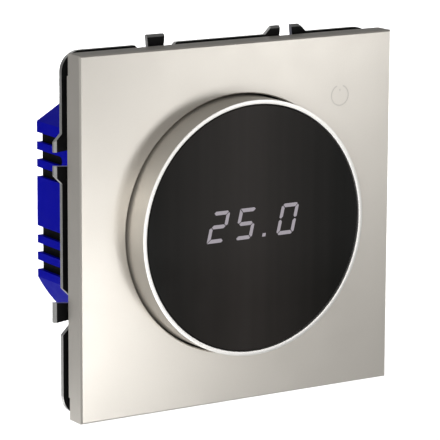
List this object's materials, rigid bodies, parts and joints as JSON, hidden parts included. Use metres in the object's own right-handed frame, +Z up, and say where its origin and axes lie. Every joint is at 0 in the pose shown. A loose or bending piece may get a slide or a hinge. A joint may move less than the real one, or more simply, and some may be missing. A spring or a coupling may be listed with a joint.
{
  "type": "wall thermostat",
  "caption": "Flush-mounted room thermostat with a square metal plate and a rotary push knob around a fixed round display, on a wall-box insert.",
  "frame": {"origin": "centre of the four box screw slots in the rear face of the support frame, which lies on the wall surface", "axes": "+X to the right seen from the room, +Y into the wall, +Z up; the display faces -Y"},
  "size_m": [0.0746, 0.04, 0.0746],
  "materials": {
    "champagne_metal": "fine satin, clear lacquer",
    "engraved_mark": "matt, etched",
    "knob_metal": "turned satin with a polished rim",
    "black_plastic": "fine texture",
    "inner_plastic": "matt",
    "blue_plastic": "satin moulded",
    "display_glass": "smoked, polished",
    "digit_diffuser": "lit through a smoked window",
    "led_resin": "clear moulding",
    "zinc_steel": "bright zinc plated",
    "frame_steel": "black coated with bare sheared edges",
    "spring_steel": "drawn wire",
    "green_board": "solder mask over copper tracks",
    "paper_board": "phenolic paper board",
    "chip_epoxy": "moulded epoxy",
    "gold_pin": "plated",
    "brass": "turned",
    "white_acetal": "smooth, self-lubricating",
    "grey_plastic": "matt",
    "polyimide": "thin film",
    "relay_blue": "matt",
    "yellow_case": "moulded",
    "can_sleeve": "shrink sleeve",
    "blue_lacquer": "dipped",
    "fuse_case": "moulded"
  },
  "bodies": {
    "insert": {"support_frame": "frame_steel", "frame_rivets": "blue_plastic", "housing": "blue_plastic", "inner_body": "inner_plastic", "insert_cover": "inner_plastic", "insert_screws": "zinc_steel", "clamp_springs": "spring_steel", "power_board": "paper_board", "socket_connector": "inner_plastic", "relay": "relay_blue", "power_converter": "chip_epoxy", "filter_capacitor": "yellow_case", "bulk_capacitor": "can_sleeve", "varistor": "blue_lacquer", "fuse": "fuse_case", "terminal_block": "grey_plastic", "terminal_cages": "brass", "terminal_screws": "zinc_steel"},
    "front_module": {"front_plate": "champagne_metal", "standby_mark": "engraved_mark", "module_base": "black_plastic", "module_rear_cover": "black_plastic", "base_screws": "zinc_steel", "cover_screws": "zinc_steel", "control_board": "green_board", "controller_chip": "chip_epoxy", "room_sensor": "chip_epoxy", "pin_header": "gold_pin", "push_switch": "grey_plastic", "return_springs": "spring_steel", "ribbon_cable": "polyimide"},
    "plunger": {"switch_plunger": "white_acetal"},
    "display_head": {"display_window": "display_glass", "digit_segments": "digit_diffuser", "display_carrier": "black_plastic", "display_board": "green_board", "segment_leds": "led_resin", "driver_chip": "chip_epoxy", "encoder_body": "grey_plastic", "detent_ball": "zinc_steel", "detent_spring": "spring_steel", "head_base": "black_plastic", "head_screws": "zinc_steel", "guide_posts": "zinc_steel", "post_clips": "spring_steel"},
    "knob": {"knob_ring": "knob_metal", "knob_core": "black_plastic", "encoder_gear_ring": "white_acetal"},
    "pinion": {"encoder_pinion": "white_acetal"}
  },
  "joints": [
    {"name": "module_unplug", "type": "slide", "parent": "insert", "child": "front_module", "axis": [0, -1, 0], "range_m": [0, 0.025]},
    {"name": "knob_press", "type": "slide", "parent": "front_module", "child": "display_head", "axis": [0, 1, 0], "range_m": [0, 0.0006], "stiffness_N_per_m": 2500, "springref_m": -0.0005, "deforming": ["return_springs", "ribbon_cable"]},
    {"name": "switch_press", "type": "slide", "parent": "front_module", "child": "plunger", "axis": [0, 1, 0], "range_m": [0, 0.0006]},
    {"name": "knob_turn", "type": "hinge", "parent": "display_head", "child": "knob", "pos_m": [0, 0, 0], "axis": [0, 1, 0], "continuous": true},
    {"name": "pinion_turn", "type": "hinge", "parent": "display_head", "child": "pinion", "pos_m": [0, 0, -0.0156], "axis": [0, 1, 0], "continuous": true}
  ],
  "couplings": [
    {"joint": "switch_press", "follows": "knob_press", "ratio": 1},
    {"joint": "pinion_turn", "follows": "knob_turn", "ratio": 4}
  ]
}
